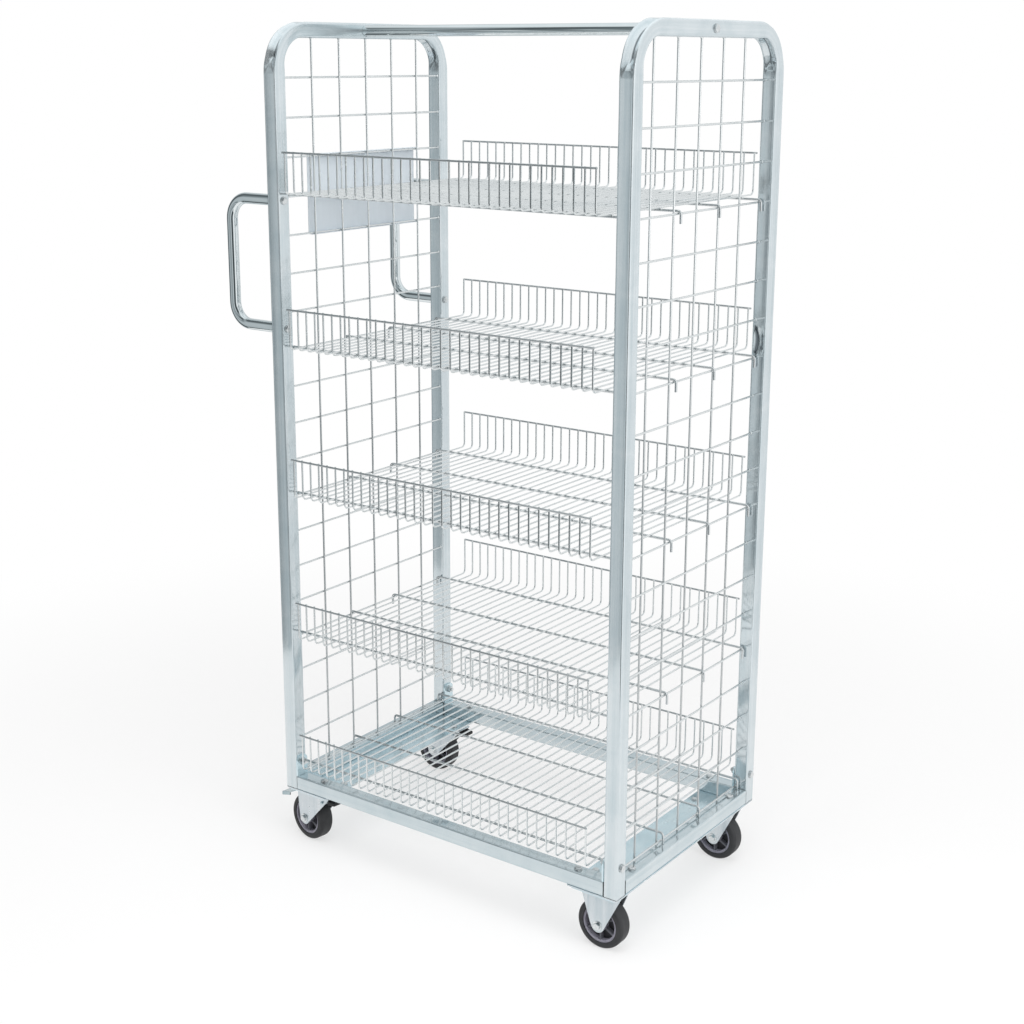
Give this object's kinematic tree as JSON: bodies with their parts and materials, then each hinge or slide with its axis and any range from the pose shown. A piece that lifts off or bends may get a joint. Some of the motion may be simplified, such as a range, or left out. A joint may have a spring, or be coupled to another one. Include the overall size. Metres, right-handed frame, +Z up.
{
  "type": "shelf trolley",
  "caption": "Tall shelf trolley with mesh-filled tube gables, lift-out wire shelves, a top rail, push handles at one end, and fixed and braked swivel casters.",
  "frame": {"origin": "on the floor under the middle of the bounding box", "axes": "+Z up; +X along the trolley, away from the push handles; +Y from the front to the rear"},
  "size_m": [0.956, 0.5666, 1.693],
  "materials": {
    "zinc_steel": "bright zinc plated",
    "zinc_wire": "bright zinc plated wire",
    "chrome_tube": "bright plated",
    "sign_sheet": "matt grey, blank",
    "tyre_rubber": "matt",
    "wheel_plastic": "moulded, matt",
    "black_plastic": "moulded, matt"
  },
  "bodies": {
    "frame": {"base_ears": "zinc_steel", "base_front_rail": "zinc_steel", "base_left_end_plate": "zinc_steel", "base_rear_rail": "zinc_steel", "base_right_end_plate": "zinc_steel", "front_handle": "chrome_tube", "gable_bolts": "zinc_steel", "handle_bolts": "zinc_steel", "left_front_caster_plate": "zinc_steel", "left_gable_cross_tube": "zinc_steel", "left_gable_mesh": "zinc_wire", "left_gable_tube": "zinc_steel", "left_rear_caster_plate": "zinc_steel", "rear_handle": "chrome_tube", "right_front_axle": "zinc_steel", "right_front_caster_fork": "zinc_steel", "right_front_caster_plate": "zinc_steel", "right_gable_cross_tube": "zinc_steel", "right_gable_mesh": "zinc_wire", "right_gable_tube": "zinc_steel", "right_rear_axle": "zinc_steel", "right_rear_caster_fork": "zinc_steel", "right_rear_caster_plate": "zinc_steel", "sign_plate": "sign_sheet", "top_rail": "chrome_tube", "top_rail_bolts": "zinc_steel"},
    "bottom_shelf": {"bottom_shelf_cross_wires": "zinc_wire", "bottom_shelf_long_wires": "zinc_wire"},
    "lower_shelf": {"lower_shelf_cross_wires": "zinc_wire", "lower_shelf_long_wires": "zinc_wire"},
    "middle_shelf": {"middle_shelf_cross_wires": "zinc_wire", "middle_shelf_long_wires": "zinc_wire"},
    "upper_shelf": {"upper_shelf_cross_wires": "zinc_wire", "upper_shelf_long_wires": "zinc_wire"},
    "top_shelf": {"top_shelf_cross_wires": "zinc_wire", "top_shelf_long_wires": "zinc_wire"},
    "left_front_swivel": {"left_front_caster_fork": "zinc_steel", "left_front_axle": "zinc_steel"},
    "left_front_brake": {"left_front_brake_lever": "zinc_steel", "left_front_brake_tab": "black_plastic"},
    "left_front_wheel": {"left_front_wheel_hub": "wheel_plastic", "left_front_tyre": "tyre_rubber"},
    "right_front_wheel": {"right_front_wheel_hub": "wheel_plastic", "right_front_tyre": "tyre_rubber"},
    "left_rear_swivel": {"left_rear_caster_fork": "zinc_steel", "left_rear_axle": "zinc_steel"},
    "left_rear_brake": {"left_rear_brake_lever": "zinc_steel", "left_rear_brake_tab": "black_plastic"},
    "left_rear_wheel": {"left_rear_wheel_hub": "wheel_plastic", "left_rear_tyre": "tyre_rubber"},
    "right_rear_wheel": {"right_rear_wheel_hub": "wheel_plastic", "right_rear_tyre": "tyre_rubber"}
  },
  "joints": [
    {"name": "bottom_shelf_lift", "type": "slide", "parent": "frame", "child": "bottom_shelf", "axis": [0, 0, 1], "range_m": [0, 0.03]},
    {"name": "lower_shelf_lift", "type": "slide", "parent": "frame", "child": "lower_shelf", "axis": [0, 0, 1], "range_m": [0, 0.03]},
    {"name": "middle_shelf_lift", "type": "slide", "parent": "frame", "child": "middle_shelf", "axis": [0, 0, 1], "range_m": [0, 0.03]},
    {"name": "upper_shelf_lift", "type": "slide", "parent": "frame", "child": "upper_shelf", "axis": [0, 0, 1], "range_m": [0, 0.03]},
    {"name": "top_shelf_lift", "type": "slide", "parent": "frame", "child": "top_shelf", "axis": [0, 0, 1], "range_m": [0, 0.03]},
    {"name": "left_front_swivel", "type": "hinge", "parent": "frame", "child": "left_front_swivel", "pos_m": [-0.3, -0.22, 0.11], "axis": [0, 0, 1], "continuous": true},
    {"name": "left_front_wheel_roll", "type": "hinge", "parent": "left_front_swivel", "child": "left_front_wheel", "pos_m": [-0.32773, -0.2161, 0.05], "axis": [0.1392, 0.9903, 0], "continuous": true},
    {"name": "left_front_brake_rock", "type": "hinge", "parent": "left_front_swivel", "child": "left_front_brake", "pos_m": [-0.27029, -0.22418, 0.104], "axis": [-0.1392, -0.9903, 0], "range_deg": [0, 3.7]},
    {"name": "right_front_wheel_roll", "type": "hinge", "parent": "frame", "child": "right_front_wheel", "pos_m": [0.418, -0.22, 0.05], "axis": [0, 1, 0], "continuous": true},
    {"name": "left_rear_swivel", "type": "hinge", "parent": "frame", "child": "left_rear_swivel", "pos_m": [-0.3, 0.22, 0.11], "axis": [0, 0, 1], "continuous": true},
    {"name": "left_rear_wheel_roll", "type": "hinge", "parent": "left_rear_swivel", "child": "left_rear_wheel", "pos_m": [-0.328, 0.22, 0.05], "axis": [0, 1, 0], "continuous": true},
    {"name": "left_rear_brake_rock", "type": "hinge", "parent": "left_rear_swivel", "child": "left_rear_brake", "pos_m": [-0.27, 0.22, 0.104], "axis": [0, -1, 0], "range_deg": [0, 3.7]},
    {"name": "right_rear_wheel_roll", "type": "hinge", "parent": "frame", "child": "right_rear_wheel", "pos_m": [0.418, 0.22, 0.05], "axis": [0, 1, 0], "continuous": true}
  ]
}
